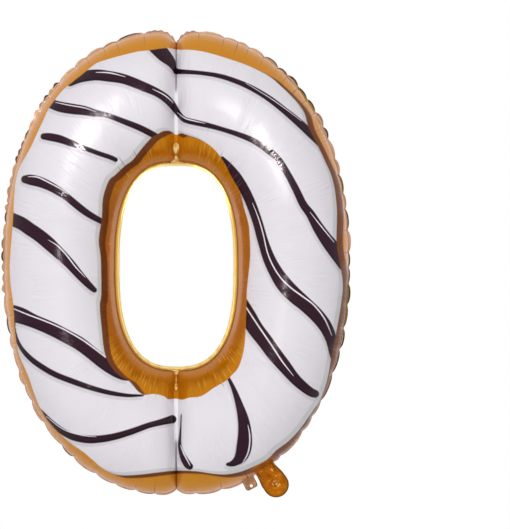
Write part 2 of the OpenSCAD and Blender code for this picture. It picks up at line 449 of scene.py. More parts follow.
def film_surface(count, steps, side):
    """Points of a film, its map along the weld and across the film, and marks for its finish."""
    angle, s, _ = stations(count)
    outer, hole = outer_line(angle), hole_line(angle)
    half = np.linalg.norm(outer - hole, axis=1, keepdims=True) / 2
    outwards = unit(outer - hole)
    turn = np.linspace(0, math.pi, steps + 1)[None, :]
    c = np.cos(turn)
    x, z = ((outer + hole)[:, [k]] / 2 + half * outwards[:, [k]] * c for k in (0, 1))
    outer_gap, hole_gap = half * (1 - c), half * (1 + c)

    # The height of the half tube, which sinks into the folds, and the pleats on it
    flat = CREASE_FLAT * between(turn, 1.2, 1.5)
    sink = CREASE_D * np.exp(-np.clip(np.abs(x) - flat, 0, None) / CREASE_W)
    pleat = np.minimum(between(hole_gap, 0.002, 0.008), between(hole_gap, 0.040, 0.030))
    rise = (CROWN - WELD_HALF - sink) * np.sin(turn) + PLEAT_D * pleat * np.exp(-(x / PLEAT_W) ** 2)
    points = np.stack([x, side * (WELD_HALF + rise), z], -1)

    # The unevenness, along the normals of the plain half tube and less of it in the folds
    normal = [outwards[:, :1] * c / half, side * np.sin(turn) / CROWN, outwards[:, 1:] * c / half]
    normal = unit(np.stack(np.broadcast_arrays(*normal), -1))
    from_outer, from_inner = turn * (half + CROWN) / 2, (math.pi - turn) * (half + CROWN) / 2
    ends = between(np.abs(hole[:, 1:] + HOLE_DROP), 0.105, 0.155)
    off_fold = np.clip(np.abs(outer[:, :1]) / 0.02, 0.15, 1)
    points += normal * (unevenness(s, turn, from_outer, from_inner, ends) * off_fold)[..., None]
    _, _, run, sway, nth, pitch = (v[:, None] for v in gather(s))
    points[..., 1] += SWAY * sway * np.exp(-from_outer / SWAY_RUN) * off_fold

    # The marks
    aside = between(np.abs(x), 0.022, 0.042)
    wide = np.where(z > 0, np.interp(hole_gap, *PIN_TOP), np.interp(hole_gap, *PIN_BOTTOM))
    # The pinch mark is how much painted shade the pinch lines get, round the ring
    dark = np.interp(np.degrees(angle), *PINCH_SHADE)[:, None]
    marks = {"outer_gap": outer_gap * MM, "hole_gap": hole_gap * MM,
             "fold": (np.abs(x) + np.clip(0.06 - np.abs(z), 0, None)) * MM,
             "pinch": np.exp(-(outer_gap / (0.004 + 0.32 * run)) ** 2) * off_fold * dark,
             "pinch_count": nth, "pinch_pitch": pitch * MM,
             "gathers": ends * aside, "gather_at": running(steps_of(hole))[:, None] * MM,
             "hole_end": ends * np.sign(hole[:, 1:]), "pin": (np.abs(x) - wide) * MM}
    marks = {name: np.broadcast_to(values, x.shape) for name, values in marks.items()}
    return points, (s[:, None], from_outer), marks


print("the tube is", 2 * CROWN, "m deep")

# %% Front and back film
STATIONS, FRONT_STEPS, BACK_STEPS = 900, 108, 60


def grid_piece(name, points, flip=False, film_map=None):
    """A piece from a grid of points whose last row joins the first."""
    index = np.arange(points.shape[0] * points.shape[1]).reshape(points.shape[:2])
    a, b = (v[:, :-1].ravel() for v in (index, np.roll(index, -1, axis=0)))
    quads = np.stack([a, b, b + 1, a + 1], 1)
    if flip:
        quads = quads[:, ::-1]
    made = new_piece(name, points.reshape(-1, 3).tolist(), faces=quads.tolist())
    if film_map is not None:
        flat_map = np.stack(np.broadcast_arrays(*film_map), -1).reshape(-1, 2)[quads.ravel()]
        made.data.uv_layers.new(name="film").data.foreach_set("uv", flat_map.astype(np.float32).ravel())
    made.data.shade_smooth()
    return made


front_points, front_map, front_marks = film_surface(STATIONS, FRONT_STEPS, -1)
front = grid_piece("front_printed_film", front_points, film_map=front_map)
back_points, back_map, back_marks = film_surface(STATIONS, BACK_STEPS, 1)
back = grid_piece("back_gold_film", back_points, flip=True, film_map=back_map)
print("front film faces", len(front.data.polygons), "back film faces", len(back.data.polygons))

# %% [markdown]
# ## The print: icing and drizzle
#
# The print is a flat drawing of pale icing with a wavy edge and dark drizzle across it. It is drawn
# here as lines in millimetres, seen from straight ahead: two closed edges of the icing, strokes with
# a width at each point, and thin pale gleams on the strokes.

# %% Lines of the print
ICING_OUTER = [
    (-107, 391), (-135, 383), (-153, 376), (-177, 357), (-196, 342), (-215, 326), (-228, 310),
    (-241, 292), (-252, 269), (-264, 243), (-275, 219), (-289, 194), (-299, 174), (-305, 144),
    (-308, 93), (-310, 64), (-313, 26), (-315, -8), (-313, -42), (-308, -79), (-305, -127),
    (-298, -170), (-281, -211), (-268, -248), (-258, -272), (-243, -298), (-219, -324), (-195, -344),
    (-176, -357), (-158, -372), (-141, -387), (-119, -398), (-98, -401), (-65, -399), (-32, -395),
    (-2, -392), (36, -393), (70, -398), (95, -399), (121, -394), (146, -384), (171, -371), (188, -354),
    (213, -335), (234, -312), (258, -278), (271, -258), (284, -222), (292, -180), (301, -134),
    (310, -82), (314, -40), (308, 2), (302, 40), (303, 95), (299, 137), (292, 166), (282, 189),
    (267, 221), (249, 257), (242, 282), (229, 302), (211, 321), (197, 334), (176, 352), (139, 371),
    (103, 384), (60, 397), (31, 402), (1, 403), (-19, 406), (-56, 401), (-74, 399)]
ICING_INNER = [
    (-1, 242), (-12, 249), (-25, 249), (-36, 243), (-48, 236), (-69, 212), (-83, 194), (-97, 184),
    (-116, 166), (-128, 155), (-139, 122), (-141, 85), (-147, 43), (-143, 9), (-142, -58), (-145, -81),
    (-141, -127), (-136, -168), (-125, -194), (-106, -214), (-88, -224), (-73, -242), (-60, -249),
    (-43, -247), (-25, -251), (-15, -257), (-1, -256), (11, -258), (25, -254), (40, -253), (53, -248),
    (70, -236), (94, -222), (105, -211), (117, -197), (126, -169), (130, -136), (132, -82), (133, -49),
    (139, 11), (138, 53), (136, 75), (127, 106), (120, 134), (103, 164), (89, 191), (74, 212),
    (57, 226), (40, 235), (19, 242), (9, 245)]
DRIZZLE = {
    "top wedge": [(-39, 410, 30), (-24, 393, 26), (-12, 381, 19), (-6, 370, 11), (0, 360, 7.6)],
    "long sweep": [
        (-201, 342, 17), (-182, 351, 21), (-154, 355, 21), (-131, 353, 21), (-98, 347, 19),
        (-62, 333, 18), (-37, 322, 16), (-19, 310, 16), (-7, 297, 14), (3, 283, 11), (15, 271, 11),
        (37, 265, 11), (63, 259, 10), (88, 252, 9), (116, 243, 10), (139, 234, 11), (154, 226, 12),
        (169, 216, 13), (186, 202, 13), (197, 189, 13), (211, 166, 13), (226, 138, 14), (239, 111, 15),
        (253, 92, 17), (267, 68, 21), (284, 43, 25), (305, 17, 29), (320, -2, 30)],
    "top right": [
        (-1, 362, 11), (14, 361, 9), (44, 359, 8), (82, 353, 9), (118, 341, 10), (148, 327, 11),
        (177, 309, 12), (205, 287, 13), (229, 267, 15), (248, 249, 15), (263, 232, 11), (273, 219, 5.7)],
    "upper left": [
        (-248, 306, 17), (-237, 301, 18), (-220, 295, 20), (-197, 291, 20), (-175, 288, 18),
        (-154, 283, 14), (-131, 279, 10), (-99, 267, 11), (-69, 255, 12), (-42, 241, 12), (-27, 231, 11)],
    "short left": [
        (-251, 239, 12), (-239, 238, 15), (-220, 234, 15), (-201, 227, 13), (-182, 220, 11),
        (-163, 213, 9), (-144, 206, 9), (-126, 200, 9), (-115, 195, 9)],
    "middle left": [
        (-286, 158, 15), (-275, 157, 20), (-258, 153, 20), (-239, 145, 18), (-222, 135, 16),
        (-205, 123, 14), (-187, 108, 14), (-167, 93, 13), (-142, 79, 11), (-129, 74, 11)],
    "wide left": [
        (-322, 87, 25), (-295, 76, 25), (-277, 64, 25), (-258, 51, 25), (-239, 35, 25), (-220, 17, 22),
        (-201, -2, 19), (-182, -24, 16), (-165, -42, 13), (-155, -51, 10)],
    "right bend": [
        (86, 196, 11), (99, 181, 16), (115, 160, 19), (131, 133, 19), (143, 106, 19), (154, 74, 19),
        (163, 42, 20), (174, 10, 23), (187, -16, 26), (203, -40, 30), (222, -60, 30), (243, -78, 28),
        (265, -99, 27), (282, -121, 25), (292, -145, 21), (295, -168, 15), (295, -183, 5.7)],
    "lower right": [
        (116, -70, 30), (134, -99, 31), (149, -124, 30), (166, -146, 29), (185, -172, 28),
        (204, -195, 25), (222, -217, 21), (239, -233, 19), (254, -244, 17), (262, -247, 15)],
    "lower left": [
        (-318, -93, 32), (-295, -99, 31), (-269, -110, 26), (-236, -124, 26), (-205, -140, 26),
        (-182, -153, 26), (-160, -170, 25), (-139, -187, 25), (-122, -202, 19), (-107, -214, 11),
        (-93, -221, 3.8)],
    "thin left": [
        (-307, -108, 5.7), (-306, -126, 5.7), (-301, -145, 6.6), (-292, -162, 8), (-277, -179, 10),
        (-256, -195, 11), (-228, -211, 11), (-192, -225, 11), (-160, -236, 10), (-126, -245, 9),
        (-92, -250, 7), (-63, -250, 3.8)],
    "bottom left": [
        (-260, -274, 3.8), (-248, -289, 9), (-233, -305, 12), (-212, -320, 13), (-192, -329, 14),
        (-167, -333, 15), (-141, -332, 14), (-114, -327, 13), (-84, -318, 12), (-54, -307, 11),
        (-31, -301, 12), (-12, -296, 15), (-8, -295, 16)],
    "bottom drop": [
        (9, -286, 1.9), (8, -308, 2.8), (7, -325, 4.7), (6, -340, 6.6), (8, -353, 9), (13, -367, 13),
        (20, -379, 15), (25, -384, 13)],
    "bottom hook": [
        (97, -215, 5.7), (108, -238, 9), (118, -266, 14), (126, -295, 21), (129, -321, 26),
        (128, -344, 29), (124, -361, 26), (116, -372, 18), (105, -379, 11), (96, -380, 6)],
}
GLEAMS = [
    [(-151, 360, 1.5), (-126, 359, 3.4), (-98, 352, 1.1)],
    [(-44, 328, 1.1), (-26, 319, 3), (-15, 311, 3), (-7, 303, 1.5)],
    [(3, 283, 1.1), (17, 273, 2.8), (35, 268, 2.8), (53, 264, 1.1)],
    [(253, 95, 1.1), (275, 67, 3), (297, 40, 1.5)],
    [(132, 339, 1), (173, 314, 1.8), (206, 291, 1.8), (235, 269, 1.1)],
    [(-227, 303, 1.6), (-203, 298, 2.6), (-174, 293, 2.6), (-154, 286, 1.1)],
    [(-279, 163, 1.5), (-262, 162, 3.4), (-241, 152, 3.4), (-219, 140, 2.8), (-205, 130, 1.1)],
    [(-241, 43, 1.1), (-224, 32, 2.8), (-207, 14, 3.4), (-190, -8, 3), (-173, -26, 1.1)],
    [(144, 112, 1.1), (155, 84, 2.6), (164, 53, 3), (171, 22, 3), (181, -3, 3.4), (196, -27, 3.4),
     (215, -46, 3.8), (238, -63, 3.8), (260, -80, 3.8), (280, -106, 3.4), (293, -136, 1.1)],
    [(131, -83, 3.4), (154, -118, 3.8), (178, -153, 3.8), (199, -185, 3.8), (220, -212, 1.1)],
    [(-306, -87, 2.6), (-279, -98, 3.4), (-247, -110, 3.4), (-213, -125, 3.4), (-181, -143, 3.8),
     (-158, -159, 4.2), (-134, -177, 4.9)],
    [(-245, -290, 1.1), (-223, -308, 2.1), (-202, -319, 2.3), (-174, -326, 2.1), (-153, -328, 1.1)],
    [(8, -345, 1.5), (14, -360, 3.8), (25, -381, 1.9)],
    [(135, -307, 1.1), (138, -323, 3.4), (138, -342, 3.4), (134, -361, 3.4), (125, -377, 1.5)],
]
print(len(DRIZZLE), "strokes,", len(GLEAMS), "gleams")

# %% [markdown]
# Each point of the film stores how far it is from these lines, in millimetres, less than zero inside.
# Colours on the points would be as coarse as the mesh. A distance changes evenly, so the material can
# cut a sharp edge from it between the points.

# %% Distances to the lines
FAR = 40.0
GLEAM_FAR, GLEAM_SIDE, GLEAM_NEAR = 12.0, 8.0, 20.0


def smooth_path(points, closed=False, pieces=4):
    """A rounded line through the points, with their widths."""
    pts = np.array(points, float)
    count = len(pts)
    steps = np.arange(count if closed else count - 1)
    around = (steps + k for k in (-1, 0, 1, 2))
    around = (k % count if closed else np.clip(k, 0, count - 1) for k in around)
    a, b, c, d = (pts[k][:, None, :] for k in around)
    t = (np.arange(pieces) / pieces)[None, :, None]
    square, cube = 2 * a - 5 * b + 4 * c - d, 3 * b - a - 3 * c + d
    curve = 0.5 * (2 * b + (c - a) * t + square * t ** 2 + cube * t ** 3)
    curve = curve.reshape(-1, pts.shape[1])
    return np.vstack([curve, curve[:1] if closed else pts[-1:]])


def gap_to_path(xz, path):
    """Distance from points to a line, less the line's half width where it has one."""
    best = np.full(len(xz), FAR)
    for a, b in zip(path[:-1], path[1:]):
        along = b[:2] - a[:2]
        t = np.clip(((xz - a[:2]) @ along) / max(along @ along, 1e-9), 0, 1)
        gap = np.hypot(*(xz - a[:2] - t[:, None] * along).T)
        if len(a) > 2:
            gap = gap - (a[2] + (b[2] - a[2]) * t) / 2
        best = np.minimum(best, gap)
    return best


def drizzle_gap(xz):
    """Least distance to any of the strokes; points far from all of them are left at the far value."""
    best = np.full(len(xz), FAR)
    for stroke in DRIZZLE.values():
        line = smooth_path(stroke)
        low, high = line[:, :2].min(0) - FAR - 5, line[:, :2].max(0) + FAR + 5
        near = np.all((xz > low) & (xz < high), axis=1)
        best[near] = np.minimum(best[near], gap_to_path(xz[near], line))
    return best


def gleam_marks(xz):
    """For the thin gleams: the offset to either side in half widths, and how far past an end a point is."""
    side, past, best = (np.full(len(xz), v) for v in (GLEAM_SIDE, GLEAM_FAR, GLEAM_FAR))
    for line in GLEAMS:
        path = smooth_path(line, pieces=6)
        for a, b in zip(path[:-1], path[1:]):
            length = np.linalg.norm(b[:2] - a[:2])
            along = (b[:2] - a[:2]) / length
            near = np.flatnonzero(np.hypot(*(xz - (a[:2] + b[:2]) / 2).T) < GLEAM_NEAR)
            rel = xz[near] - a[:2]
            s, across = rel @ along, rel @ np.array([-along[1], along[0]])
            over = np.maximum(np.maximum(-s, s - length), 0)
            gap = np.hypot(over, across)
            width = (a[2] + (b[2] - a[2]) * np.clip(s / length, 0, 1)) / 2
            closer = gap < best[near]
            best[near[closer]], past[near[closer]] = gap[closer], over[closer]
            side[near[closer]] = np.clip(across[closer] / width[closer], -GLEAM_SIDE, GLEAM_SIDE)
    return side, past


def within(xz, path):
    """True for points inside a closed line."""
    inside = np.zeros(len(xz), bool)
    for a, b in zip(path[:-1], path[1:]):
        crosses = (a[1] > xz[:, 1]) != (b[1] > xz[:, 1])
        at = a[0] + (xz[:, 1] - a[1]) / ((b[1] - a[1]) or 1e-9) * (b[0] - a[0])
        inside ^= crosses & (xz[:, 0] < at)
    return inside


icing_edges = [smooth_path(line, True, 3) for line in (ICING_OUTER, ICING_INNER)]


def icing_gap(xz):
    """Signed distance to the icing, less than zero on it."""
    outer, inner = (np.where(within(xz, line), -1, 1) * gap_to_path(xz, line) for line in icing_edges)
    return np.maximum(outer, -inner)


print("points along the icing's edges", [len(line) for line in icing_edges])

# %% [markdown]
# The drawing has printed shading too: the icing throws a brown shadow to the lower right, it has
# a grey side at its lower and right edges, and each stroke has a faint shadow under it. These are
# the same lines, looked up a few millimetres away. The points of the film are first seen as the
# camera sees them, so that the drawing sits where a straight look from the front puts it.

# %% Store the print on the front film
SHADOW_X, SHADOW_Z = -12.6, 5.6
TAIL_AT = (163, -381)


def store(piece, name, values, kind="FLOAT"):
    """Keeps a number, or a direction, for each point of a piece."""
    layer = piece.data.attributes.new(name, kind, "POINT")
    field = "value" if kind == "FLOAT" else "vector"
    layer.data.foreach_set(field, np.ascontiguousarray(values, np.float32).ravel())


def looked_at(points):
    """Where points show in the plane of the welds, in millimetres."""
    scale = VIEW_DISTANCE / (VIEW_DISTANCE + points[..., 1])
    x = VIEW_X + (points[..., 0] - VIEW_X) * scale
    z = VIEW_Z + (points[..., 2] - VIEW_Z) * scale
    return np.stack([x, z], -1).reshape(-1, 2) * MM


seen_at = looked_at(front_points)
# The shadow falls less steeply at the lower left of the hole, where it stays wide
less_steep = 0.8 * np.exp(-((seen_at[:, 0] + 105) / 55) ** 2 - ((seen_at[:, 1] + 205) / 50) ** 2)
shadow_shift = np.stack([np.full(len(seen_at), SHADOW_X), SHADOW_Z * (1 - less_steep)], -1)
print_marks = {"icing": icing_gap(seen_at), "icing_shadow": icing_gap(seen_at + shadow_shift),
               "icing_side": icing_gap(seen_at + [7.0, -6.0]),
               "drizzle": drizzle_gap(seen_at), "drizzle_top": drizzle_gap(seen_at + [0.8, -2.6]),
               "drizzle_shadow": drizzle_gap(seen_at + [2.8, 6.0])}
print_marks["gleam_side"], print_marks["gleam_past"] = gleam_marks(seen_at)
# The tail is cut from the same film, so its amber starts on the front, round the tail's root
print_marks["tail_root"] = np.hypot(*(seen_at - TAIL_AT).T)
for piece, marks in ((front, print_marks | front_marks), (back, back_marks)):
    for name, values in marks.items():
        store(piece, name, values)
print("share of the front under drizzle", round(float((print_marks["drizzle"] < 0).mean()), 3))

# %% [markdown]
# ## Effects that several finishes share
#
# All pieces are the same kind of film, so three small node groups serve every finish. One turns
# a stored distance into a mask with a soft edge. One gives the crumple of thin film, as a height and
# a tone. One gives the tight ripples across a blown tube, which run round the tube and so follow the
# film's own map.

# %% Shared node groups
def new_group(name, inputs, outputs):
    """A node group of plain values, its nodes and the sockets that it is given."""
    made = bpy.data.node_groups.new(name, "ShaderNodeTree")
    for label, value in inputs.items():
        made.interface.new_socket(label, in_out="INPUT", socket_type="NodeSocketFloat").default_value = value
    for label in outputs:
        made.interface.new_socket(label, in_out="OUTPUT", socket_type="NodeSocketFloat")
    return made, Nodes(made), made.nodes.new("NodeGroupInput").outputs


print_edge, n, given = new_group("print edge", {"Distance": 0, "At": 0, "Softness": 0.5}, ["Mask"])
low = n.calc("SUBTRACT", given["At"], given["Softness"])
high = n.plus(given["At"], given["Softness"])
n.put("NodeGroupOutput", Mask=n.remap(given["Distance"], low, high, 1.0, 0.0))

foil_crumple, n, given = new_group("foil crumple", {"Size": 0.02, "Fineness": 2}, ["Height", "Tone"])
place = n.here()
scale = n.calc("DIVIDE", 1.0, given["Size"])
tone = n.put("ShaderNodeTexNoise", Vector=place, Scale=scale, Detail=given["Fineness"]).outputs["Fac"]
creased = n.put("ShaderNodeTexVoronoi", {"feature": "DISTANCE_TO_EDGE"}, Vector=place, Scale=scale)
facets = n.remap(creased.outputs["Distance"], 0.0, 0.25)
n.put("NodeGroupOutput", Height=n.plus(tone, n.times(facets, 0.35)), Tone=tone)

tight_ripples, n, given = new_group("tight ripples", {"Pitch": 0.007, "Length": 0.05}, ["Height", "Patches"])
FLAT_NOISE = {"noise_dimensions": "2D"}
film_map = n.put("ShaderNodeUVMap", {"uv_map": "film"}).outputs[0]
along, across, _ = n.put("ShaderNodeSeparateXYZ", Vector=film_map).outputs
along, across = n.calc("DIVIDE", along, given["Pitch"]), n.calc("DIVIDE", across, given["Length"])
stretched = n.put("ShaderNodeCombineXYZ", X=along, Y=across).outputs[0]
ripple = n.put("ShaderNodeTexNoise", FLAT_NOISE, Vector=stretched, Scale=1.0, Detail=1.5).outputs["Fac"]
patch = n.put("ShaderNodeTexNoise", FLAT_NOISE, Vector=film_map, Scale=14.0, Detail=1.0).outputs["Fac"]
patches = n.remap(patch, 0.42, 0.62)
n.put("NodeGroupOutput", Height=n.times(ripple, n.plus(patches, 0.25)), Patches=patches)


def cut(n, distance, at, softness):
    """A mask that is 1 where a distance is below a value, with a soft edge."""
    return n.group(print_edge, Distance=distance, At=at, Softness=softness)["Mask"]


def edge(n, name, at, softness):
    return cut(n, n.stored(name), at, softness)


print("groups:", print_edge.name, foil_crumple.name, tight_ripples.name)

# %% [markdown]
# ## Finish of the printed front
#
# Ink on metallised film: opaque pale icing and nearly black drizzle, and a see-through caramel ink
# that lets the metal shine. From the bottom up the colours are caramel, the brown shadow, the icing
# with its grey side, the strokes' shadows, the strokes and their gleams. The caramel comes first. It
# changes with the distance from each weld: over the ink's own colour, the ramps paint the shade and
# the paler reflection of the film where it turns away from the light.

# %% Printed film: caramel
CARAMEL_RUN = 40.0
# Colours from a weld inwards, caramel ink with painted shade and painted reflection: at the rim,
# at the sides of the hole and at the ends of the hole
RIM_CARAMEL_AND_SHADE = [(0.0, (206, 152, 116)), (0.04, (222, 170, 130)), (0.12, (216, 154, 88)),
               (0.4, (208, 140, 44)), (1.0, (200, 130, 26))]
HOLE_CARAMEL_AND_SHADE = [(0.0, (255, 214, 90)), (0.035, (240, 184, 62)), (0.06, (156, 96, 34)),
                (0.085, (158, 100, 44)), (0.12, (198, 136, 86)), (0.28, (195, 131, 78)),
                (0.33, (172, 105, 42)), (0.60, (184, 113, 32)), (1.0, (208, 128, 4))]
END_CARAMEL_AND_SHADE = [(0.0, (250, 200, 80)), (0.03, (226, 160, 60)), (0.05, (120, 64, 12)),
               (0.06, (130, 76, 16)), (0.09, (196, 132, 58)), (0.14, (195, 122, 26)),
               (0.60, (194, 121, 6)), (1.0, (204, 128, 2))]

printed_film, n, skin = start_material("printed film")
rim_share = n.calc("DIVIDE", n.stored("outer_gap"), CARAMEL_RUN, clamp=True)
hole_share = n.calc("DIVIDE", n.stored("hole_gap"), CARAMEL_RUN, clamp=True)
hole_end = n.stored("hole_end")
hole_caramel_and_shade, end_caramel_and_shade = n.ramp(hole_share, HOLE_CARAMEL_AND_SHADE), n.ramp(hole_share, END_CARAMEL_AND_SHADE)
hole_caramel_and_shade = n.blend(n.calc("ABSOLUTE", hole_end), hole_caramel_and_shade, end_caramel_and_shade)
# The lower end of the hole is painted a little darker
lower_end = n.calc("MULTIPLY", hole_end, -0.8, clamp=True)
hole_caramel_and_shade = n.blend(lower_end, hole_caramel_and_shade, (238, 236, 240), "MULTIPLY")
nearer_hole = n.remap(n.stored("hole_gap"), 80.0, 90.0, 1.0, 0.0)
caramel = n.blend(nearer_hole, n.ramp(rim_share, RIM_CARAMEL_AND_SHADE), hole_caramel_and_shade)
print("caramel colours", len(RIM_CARAMEL_AND_SHADE + HOLE_CARAMEL_AND_SHADE + END_CARAMEL_AND_SHADE))

# %% [markdown]
# Fine wrinkles run out from the ends of the hole, in the relief and as painted lines of dark shade
# or bright glint. They are found by a count that is stored on the film and rises by one from line to
# line, so that the material can give each line its own length, and its painted shade or glint. Under
# the icing's edge lies its brown shadow, and round the tail's root the ink is amber.

# %% Printed film: wrinkles and shadow
WRINKLE_PITCH, WRINKLE_W = 4.6, 0.6


def nth_line(n, count, pitch):
    """Distance to the nearest line of a count, in the pitch's unit, and three random values for it."""
    gap = n.times(n.calc("PINGPONG", count, 0.5), pitch)
    own = n.put("ShaderNodeTexWhiteNoise", {"noise_dimensions": "1D"}, W=n.calc("ROUND", count))
    return gap, n.put("ShaderNodeSeparateColor", Color=own.outputs["Color"]).outputs


gap, own = nth_line(n, n.calc("DIVIDE", n.stored("gather_at"), WRINKLE_PITCH), WRINKLE_PITCH)
wrinkle_start, wrinkle_length = n.plus(n.times(own[0], 22.0), 6.0), n.plus(n.times(own[1], 24.0), 14.0)
along = n.calc("DIVIDE", n.calc("SUBTRACT", n.stored("hole_gap"), wrinkle_start), wrinkle_length)
taper = n.calc("MULTIPLY", n.times(along, n.rest(along)), 4.0, clamp=True)
wrinkled = n.times(cut(n, gap, n.times(taper, WRINKLE_W), 0.6), taper, n.stored("gathers"))
# Each wrinkle line is painted either as dark shade or as a bright glint
wrinkle_shade_and_glint = n.blend(n.calc("GREATER_THAN", own[2], 0.45), (134, 76, 14), (240, 184, 74))
caramel = n.blend(n.times(wrinkled, 0.6), caramel, wrinkle_shade_and_glint)
caramel = n.blend(edge(n, "icing_shadow", 0.0, 1.2), caramel, (112, 60, 26))
caramel = n.blend(n.times(edge(n, "tail_root", 24.0, 9.0), 0.8), caramel, (172, 100, 18))
print("wrinkles every", WRINKLE_PITCH, "mm")

# %% [markdown]
# The icing is a pale ink with a grey side, a painted highlight along the two folds, and the painted shade of
# a few of the wrinkles.
# The strokes are nearly black and a little redder on their upper side, and the gleams are drawn on them.

# %% Printed film: icing and drizzle
at_rim = n.remap(n.stored("outer_gap"), 88.0, 97.0, 1.0, 0.0)
icing = n.blend(edge(n, "icing_side", 0.0, 1.0), (204, 204, 206), (226, 222, 228))
icing = n.blend(n.times(edge(n, "drizzle_shadow", 0.0, 1.2), 0.4), icing, (186, 176, 184))
# Painted highlight: a pale line along each fold on the icing, away from the rim
icing = n.blend(n.times(edge(n, "fold", 3.2, 0.8), n.rest(at_rim)), icing, (244, 242, 246))
strokes = n.blend(edge(n, "drizzle_top", -1.5, 1.5), (12, 4, 8), (42, 12, 28))
on_gleam = cut(n, n.calc("ABSOLUTE", n.stored("gleam_side")), 0.66, 0.35)
on_gleam = n.times(on_gleam, edge(n, "gleam_past", 1.5, 1.0))
strokes = n.blend(on_gleam, strokes, (236, 230, 236))
on_stroke = edge(n, "drizzle", 0.0, 0.8)
icing = n.blend(on_stroke, icing, strokes)
# A few wrinkle lines show on the icing too, in painted shade
few_wrinkle_shades = n.times(wrinkled, n.calc("GREATER_THAN", own[2], 0.72), 0.7)
icing = n.blend(few_wrinkle_shades, icing, (96, 86, 90))
on_icing = edge(n, "icing", 0.0, 0.7)
print("printed film so far:", len(n.tree.nodes), "nodes")

# %% [markdown]
# The film gathers where it has to shorten. Each end of the hole has a gold pleat painted with
# highlights, in a hollow of painted shade, and a dark line of painted shade runs in from every pinch
# of the rim and from the two folds. The pinch lines are found by a count too. Gloss and relief close
# the recipe: bare icing is less glossy than the strokes, and the ripples of the tight film lie over
# its crumple and its wrinkles.

# %% Printed film: pleats, pinches and gloss
# Painted shade in the hollow round each pleat, then the pleat's gold with painted highlights from a noise
caramel = n.blend(n.times(edge(n, "pin", 3.5, 3.5), 0.55), caramel, (132, 66, 8))
shine = n.put("ShaderNodeTexNoise", Vector=n.here(), Scale=120.0, Detail=1.0).outputs["Fac"]
shine = n.ramp(shine, [(0.36, (206, 132, 30)), (0.5, (250, 206, 104)), (0.62, (255, 242, 190))])
pin_highlight = n.blend(edge(n, "pin", -1.2, 1.0), (200, 128, 28), shine)
caramel = n.blend(edge(n, "pin", 0.0, 0.6), caramel, pin_highlight)
colour = n.blend(on_icing, caramel, icing)
# Painted shade: a dark line in each fold near the rim
colour = n.blend(n.times(edge(n, "fold", 0.9, 0.7), n.times(at_rim, 0.8)), colour, (60, 36, 30))

# Painted shade: a dark line runs in from every pinch of the rim
gap, own = nth_line(n, n.stored("pinch_count"), n.stored("pinch_pitch"))
pinch, off_icing = n.stored("pinch"), n.rest(on_icing)
pinch_shade = n.times(cut(n, gap, n.times(pinch, 1.1), 0.6), n.plus(n.times(own[0], 0.8), 0.2))
pinch_shade = n.times(pinch_shade, n.calc("POWER", pinch, 0.5), off_icing)
colour = n.blend(pinch_shade, colour, (84, 48, 28))

ripples = n.group(tight_ripples, Pitch=0.0056, Length=0.05)
bare_icing = n.times(on_icing, n.rest(on_stroke))
rough = n.plus(n.remap(ripples["Patches"], low=0.20, high=0.25), n.times(bare_icing, 0.14))
rough = n.plus(rough, n.times(edge(n, "hole_gap", 5.0, 2.0), 0.6))
normal = n.bump(n.group(foil_crumple, Size=0.06, Fineness=3.0)["Tone"], 0.05, 0.004)
normal = n.bump(wrinkled, 0.6, 0.0008, Normal=normal)
normal = n.bump(ripples["Height"], 1.0, 0.0012, Normal=normal)
n.feed(skin, Base_Color=colour, Metallic=n.times(off_icing, 0.35), Roughness=rough, Normal=normal,
       Specular_IOR_Level=0.2, Specular_Tint=(1.0, 0.90, 0.92, 1))
front.data.materials.append(printed_film)
print("printed film has", len(n.tree.nodes), "nodes")

# %% [markdown]
# ## Finishes of the other pieces
#
# The back is bare gold film: a full metal, slightly rough, with the same ripples. The welds are the
# two films fused, so they are duller, browner and banded across their width; the pale bands of the
# weld at the hole are painted highlights. The tail is the same two films, loose and crumpled, amber in
# front and gold behind. The valve is a pale thin film, and its release coat is a dull blue ink. One
# recipe makes them all, and what only one finish has is a detail of its own that is handed to the recipe.

# %% Recipe for a foil
def foil(name, light, dark, metallic, rough, size, relief, gloss=0.5, detail=None):
    """Bare or tinted film: two tones by its crumple, and the crumple as relief."""
    made, n, skin = start_material(name)
    crumple = n.group(foil_crumple, Size=size, Fineness=4.0)
    tones = n.ramp(crumple["Tone"], [(0.32, dark), (0.68, light)])
    normal = n.bump(crumple["Height"], relief, 0.002)
    if detail is not None:
        tones, normal = detail(n, crumple, tones, normal)
    n.feed(skin, Base_Color=tones, Roughness=n.remap(crumple["Tone"], low=rough, high=rough + 0.12),
           Normal=normal, Metallic=metallic, Specular_IOR_Level=gloss)
    return made


def blown_tight(n, crumple, tones, normal):
    """Ripples over the crumple, and dark lines of painted shade at the pinches."""
    ripples = n.group(tight_ripples, Pitch=0.008, Length=0.06)
    gap, _ = nth_line(n, n.stored("pinch_count"), n.stored("pinch_pitch"))
    pinch = n.stored("pinch")
    tones = n.blend(n.times(cut(n, gap, pinch, 0.6), pinch), tones, (96, 60, 24))
    return tones, n.bump(ripples["Height"], 0.5, 0.0010, Normal=normal)


def gilt_and_dashes(n, crumple, tones, normal):
    """Some lobes of the rim are golden, and some have a dark dash along the edge."""
    tones = n.blend(n.stored("gilt"), tones, (176, 140, 40))
    dark = n.remap(n.stored("tip"), 0.50, 0.62)
    return n.blend(n.times(dark, n.stored("dash")), tones, (74, 48, 28)), normal


def banded(stops):
    """Bands across a weld, from its root to its edge."""
    return lambda n, crumple, tones, normal: (n.blend(0.9, tones, n.ramp(n.stored("tip"), stops)), normal)


